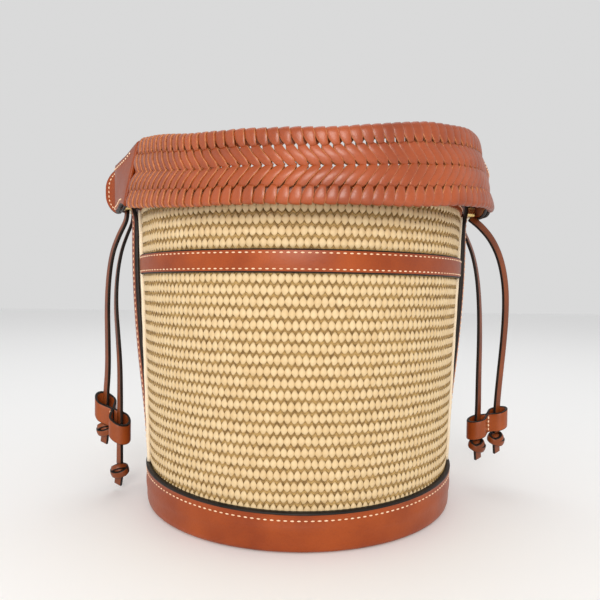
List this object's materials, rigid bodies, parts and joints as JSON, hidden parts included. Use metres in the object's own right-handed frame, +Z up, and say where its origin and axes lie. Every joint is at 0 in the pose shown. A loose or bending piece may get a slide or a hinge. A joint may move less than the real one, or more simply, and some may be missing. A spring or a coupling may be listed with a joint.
{
  "type": "bucket bag",
  "caption": "Small round bucket bag in woven raffia-effect cloth with leather base, straps, a braided top handle that swings, and knotted drawcords.",
  "frame": {"origin": "centre of the base, on the ground", "axes": "+Z up, front faces -Y, the handle swings about an axis along X"},
  "size_m": [0.2799, 0.2306, 0.2147],
  "materials": {
    "raffia_cloth": "woven raffia effect, matt",
    "cream_piping": "matt",
    "lining_cloth": "matt",
    "stiff_board": "matt",
    "tan_leather": "smooth, satin",
    "sole_leather": "smooth, satin",
    "braid_leather": "smooth, glossy",
    "cord_leather": "smooth face, black edges",
    "brass_fittings": "polished"
  },
  "bodies": {
    "bag": {"back_band": "tan_leather", "base_band": "tan_leather", "base_board": "stiff_board", "base_sole": "sole_leather", "cord_casing": "tan_leather", "cord_outlet_left": "brass_fittings", "cord_outlet_right": "brass_fittings", "drawcord_left_inner": "cord_leather", "drawcord_left_outer": "cord_leather", "drawcord_loop_left": "cord_leather", "drawcord_loop_right": "cord_leather", "drawcord_right_inner": "cord_leather", "drawcord_right_outer": "cord_leather", "front_band": "tan_leather", "handle_stud_left": "brass_fittings", "handle_stud_right": "brass_fittings", "inner_pocket": "lining_cloth", "knot_left_inner": "cord_leather", "knot_left_outer": "cord_leather", "knot_right_inner": "cord_leather", "knot_right_outer": "cord_leather", "lining_floor": "lining_cloth", "lining_wall": "lining_cloth", "piping_back_left": "cream_piping", "piping_back_right": "cream_piping", "piping_front_left": "cream_piping", "piping_front_right": "cream_piping", "rim_binding": "tan_leather", "side_strap_left": "tan_leather", "side_strap_right": "tan_leather", "strap_backing_left": "stiff_board", "strap_backing_right": "stiff_board", "stud_cap_left": "brass_fittings", "stud_cap_right": "brass_fittings", "stud_spacer_left": "brass_fittings", "stud_spacer_right": "brass_fittings", "woven_back_panel": "raffia_cloth", "woven_front_panel": "raffia_cloth"},
    "handle": {"handle_braid": "braid_leather", "handle_end_left": "tan_leather", "handle_end_right": "tan_leather", "handle_lacing_lower": "braid_leather", "handle_lacing_upper": "braid_leather", "handle_tab_left": "tan_leather", "handle_tab_right": "tan_leather"},
    "slide_left": {"slide_left": "tan_leather"},
    "slide_right": {"slide_right": "tan_leather"}
  },
  "joints": [
    {"name": "handle_swing", "type": "hinge", "parent": "bag", "child": "handle", "pos_m": [0, 0, 0.1995], "axis": [-1, 0, 0], "range_deg": [-3, 191]},
    {"name": "slide_left_travel", "type": "slide", "parent": "bag", "child": "slide_left", "axis": [0.045, 0, 0.999], "range_m": [0, 0.025]},
    {"name": "slide_right_travel", "type": "slide", "parent": "bag", "child": "slide_right", "axis": [0.0499, 0, 0.9988], "range_m": [0, 0.025]}
  ]
}
